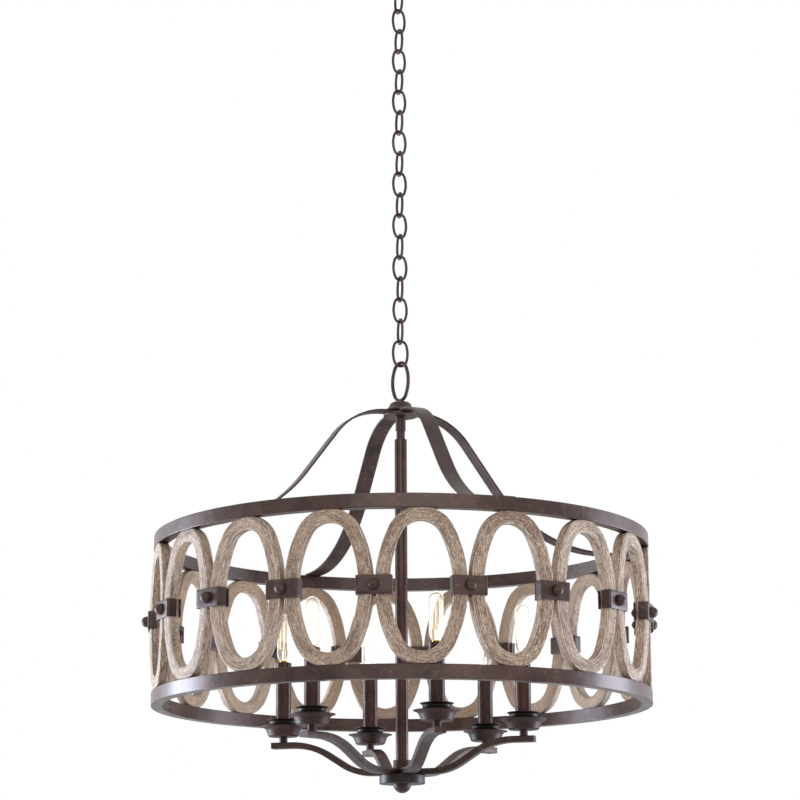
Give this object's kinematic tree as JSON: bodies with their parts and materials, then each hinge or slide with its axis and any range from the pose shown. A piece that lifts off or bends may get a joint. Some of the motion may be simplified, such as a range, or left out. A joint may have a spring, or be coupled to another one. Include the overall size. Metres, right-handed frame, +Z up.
{
  "type": "chandelier",
  "caption": "Chain-hung drum chandelier: two metal rings hold upright wooden ovals round candle lamps on curved arms, under a domed canopy.",
  "frame": {"origin": "on the ceiling, at the centre of the crossbar's two screw slots, over the middle of the light", "axes": "+Z up into the ceiling, the light hangs towards -Z; -Y is the side the picture faces, +X its right"},
  "size_m": [0.7408, 0.7392, 1.2811],
  "materials": {
    "bronze": "satin dark bronze with faint tan speckle",
    "driftwood": "grey-beige weathered, whitewashed, open grain along the curve",
    "clear_glass": "clear tube",
    "lamp_brass": "bright rolled brass",
    "socket_plastic": "black moulded",
    "zinc_steel": "zinc-plated"
  },
  "bodies": {
    "ceiling_mount": {"crossbar": "zinc_steel", "ceiling_nipple": "zinc_steel", "canopy": "bronze", "canopy_loop": "bronze", "canopy_collar": "bronze"},
    "link_01": {"chain_link_01": "bronze"},
    "link_02": {"chain_link_02": "bronze"},
    "link_03": {"chain_link_03": "bronze"},
    "link_04": {"chain_link_04": "bronze"},
    "link_05": {"chain_link_05": "bronze"},
    "link_06": {"chain_link_06": "bronze"},
    "link_07": {"chain_link_07": "bronze"},
    "link_08": {"chain_link_08": "bronze"},
    "link_09": {"chain_link_09": "bronze"},
    "link_10": {"chain_link_10": "bronze"},
    "link_11": {"chain_link_11": "bronze"},
    "link_12": {"chain_link_12": "bronze"},
    "link_13": {"chain_link_13": "bronze"},
    "link_14": {"chain_link_14": "bronze"},
    "link_15": {"chain_link_15": "bronze"},
    "link_16": {"chain_link_16": "bronze"},
    "link_17": {"chain_link_17": "bronze"},
    "link_18": {"chain_link_18": "bronze"},
    "fixture": {"hanging_loop": "bronze", "top_cap": "bronze", "hub_plate": "bronze", "lock_nut": "bronze", "stem_coupler": "bronze", "stem_neck": "bronze", "straps": "bronze", "ring_top": "bronze", "ring_bottom": "bronze", "wood_ovals": "driftwood", "oval_screws": "zinc_steel", "clamp_channels": "bronze", "clamp_plates": "bronze", "clamp_bolts": "bronze", "stem": "bronze", "hub_body": "bronze", "hub_disc": "bronze", "finial": "bronze", "arms": "bronze", "arm_posts": "bronze", "candle_cups": "bronze", "candle_dishes": "bronze", "candle_sleeves": "bronze", "sockets": "socket_plastic", "socket_shells": "lamp_brass"},
    "bulb_1": {"bulb_1_glass": "clear_glass", "bulb_1_base": "lamp_brass"},
    "bulb_2": {"bulb_2_glass": "clear_glass", "bulb_2_base": "lamp_brass"},
    "bulb_3": {"bulb_3_glass": "clear_glass", "bulb_3_base": "lamp_brass"},
    "bulb_4": {"bulb_4_glass": "clear_glass", "bulb_4_base": "lamp_brass"},
    "bulb_5": {"bulb_5_glass": "clear_glass", "bulb_5_base": "lamp_brass"},
    "bulb_6": {"bulb_6_glass": "clear_glass", "bulb_6_base": "lamp_brass"}
  },
  "joints": [
    {"name": "link_01_swing", "type": "hinge", "parent": "ceiling_mount", "child": "link_01", "pos_m": [0, 0, -0.0697], "axis": [0.8572, 0.515, 0], "range_deg": [-45, 45]},
    {"name": "link_02_swing", "type": "hinge", "parent": "link_01", "child": "link_02", "pos_m": [0, 0, -0.1019], "axis": [-0.515, 0.8572, 0], "range_deg": [-45, 45]},
    {"name": "link_03_swing", "type": "hinge", "parent": "link_02", "child": "link_03", "pos_m": [0, 0, -0.1346], "axis": [-0.864, -0.5036, 0], "range_deg": [-45, 45]},
    {"name": "link_04_swing", "type": "hinge", "parent": "link_03", "child": "link_04", "pos_m": [0, 0, -0.1673], "axis": [0.492, -0.8706, 0], "range_deg": [-45, 45]},
    {"name": "link_05_swing", "type": "hinge", "parent": "link_04", "child": "link_05", "pos_m": [0, 0, -0.2], "axis": [-0.8771, -0.4803, 0], "range_deg": [-45, 45]},
    {"name": "link_06_swing", "type": "hinge", "parent": "link_05", "child": "link_06", "pos_m": [0, 0, -0.2327], "axis": [-0.4686, 0.8834, 0], "range_deg": [-45, 45]},
    {"name": "link_07_swing", "type": "hinge", "parent": "link_06", "child": "link_07", "pos_m": [0, 0, -0.2654], "axis": [0.8896, 0.4567, 0], "range_deg": [-45, 45]},
    {"name": "link_08_swing", "type": "hinge", "parent": "link_07", "child": "link_08", "pos_m": [0, 0, -0.2981], "axis": [0.4448, -0.8956, 0], "range_deg": [-45, 45]},
    {"name": "link_09_swing", "type": "hinge", "parent": "link_08", "child": "link_09", "pos_m": [0, 0, -0.3308], "axis": [0.9015, 0.4328, 0], "range_deg": [-45, 45]},
    {"name": "link_10_swing", "type": "hinge", "parent": "link_09", "child": "link_10", "pos_m": [0, 0, -0.3635], "axis": [-0.4208, 0.9072, 0], "range_deg": [-45, 45]},
    {"name": "link_11_swing", "type": "hinge", "parent": "link_10", "child": "link_11", "pos_m": [0, 0, -0.3962], "axis": [-0.9127, -0.4086, 0], "range_deg": [-45, 45]},
    {"name": "link_12_swing", "type": "hinge", "parent": "link_11", "child": "link_12", "pos_m": [0, 0, -0.4289], "axis": [0.3964, -0.9181, 0], "range_deg": [-45, 45]},
    {"name": "link_13_swing", "type": "hinge", "parent": "link_12", "child": "link_13", "pos_m": [0, 0, -0.4616], "axis": [-0.9233, -0.3841, 0], "range_deg": [-45, 45]},
    {"name": "link_14_swing", "type": "hinge", "parent": "link_13", "child": "link_14", "pos_m": [0, 0, -0.4943], "axis": [-0.3717, 0.9283, 0], "range_deg": [-45, 45]},
    {"name": "link_15_swing", "type": "hinge", "parent": "link_14", "child": "link_15", "pos_m": [0, 0, -0.527], "axis": [0.9332, 0.3593, 0], "range_deg": [-45, 45]},
    {"name": "link_16_swing", "type": "hinge", "parent": "link_15", "child": "link_16", "pos_m": [0, 0, -0.5597], "axis": [0.3468, -0.9379, 0], "range_deg": [-45, 45]},
    {"name": "link_17_swing", "type": "hinge", "parent": "link_16", "child": "link_17", "pos_m": [0, 0, -0.5924], "axis": [0.9425, 0.3343, 0], "range_deg": [-45, 45]},
    {"name": "link_18_swing", "type": "hinge", "parent": "link_17", "child": "link_18", "pos_m": [0, 0, -0.6251], "axis": [-0.3217, 0.9468, 0], "range_deg": [-45, 45]},
    {"name": "light_swing", "type": "hinge", "parent": "link_18", "child": "fixture", "pos_m": [0, 0, -0.6593], "axis": [-0.9511, -0.309, 0], "range_deg": [-45, 45]},
    {"name": "bulb_1_out", "type": "slide", "parent": "fixture", "child": "bulb_1", "axis": [0, 0, 1], "range_m": [0, 0.03]},
    {"name": "bulb_2_out", "type": "slide", "parent": "fixture", "child": "bulb_2", "axis": [0, 0, 1], "range_m": [0, 0.03]},
    {"name": "bulb_3_out", "type": "slide", "parent": "fixture", "child": "bulb_3", "axis": [0, 0, 1], "range_m": [0, 0.03]},
    {"name": "bulb_4_out", "type": "slide", "parent": "fixture", "child": "bulb_4", "axis": [0, 0, 1], "range_m": [0, 0.03]},
    {"name": "bulb_5_out", "type": "slide", "parent": "fixture", "child": "bulb_5", "axis": [0, 0, 1], "range_m": [0, 0.03]},
    {"name": "bulb_6_out", "type": "slide", "parent": "fixture", "child": "bulb_6", "axis": [0, 0, 1], "range_m": [0, 0.03]}
  ]
}
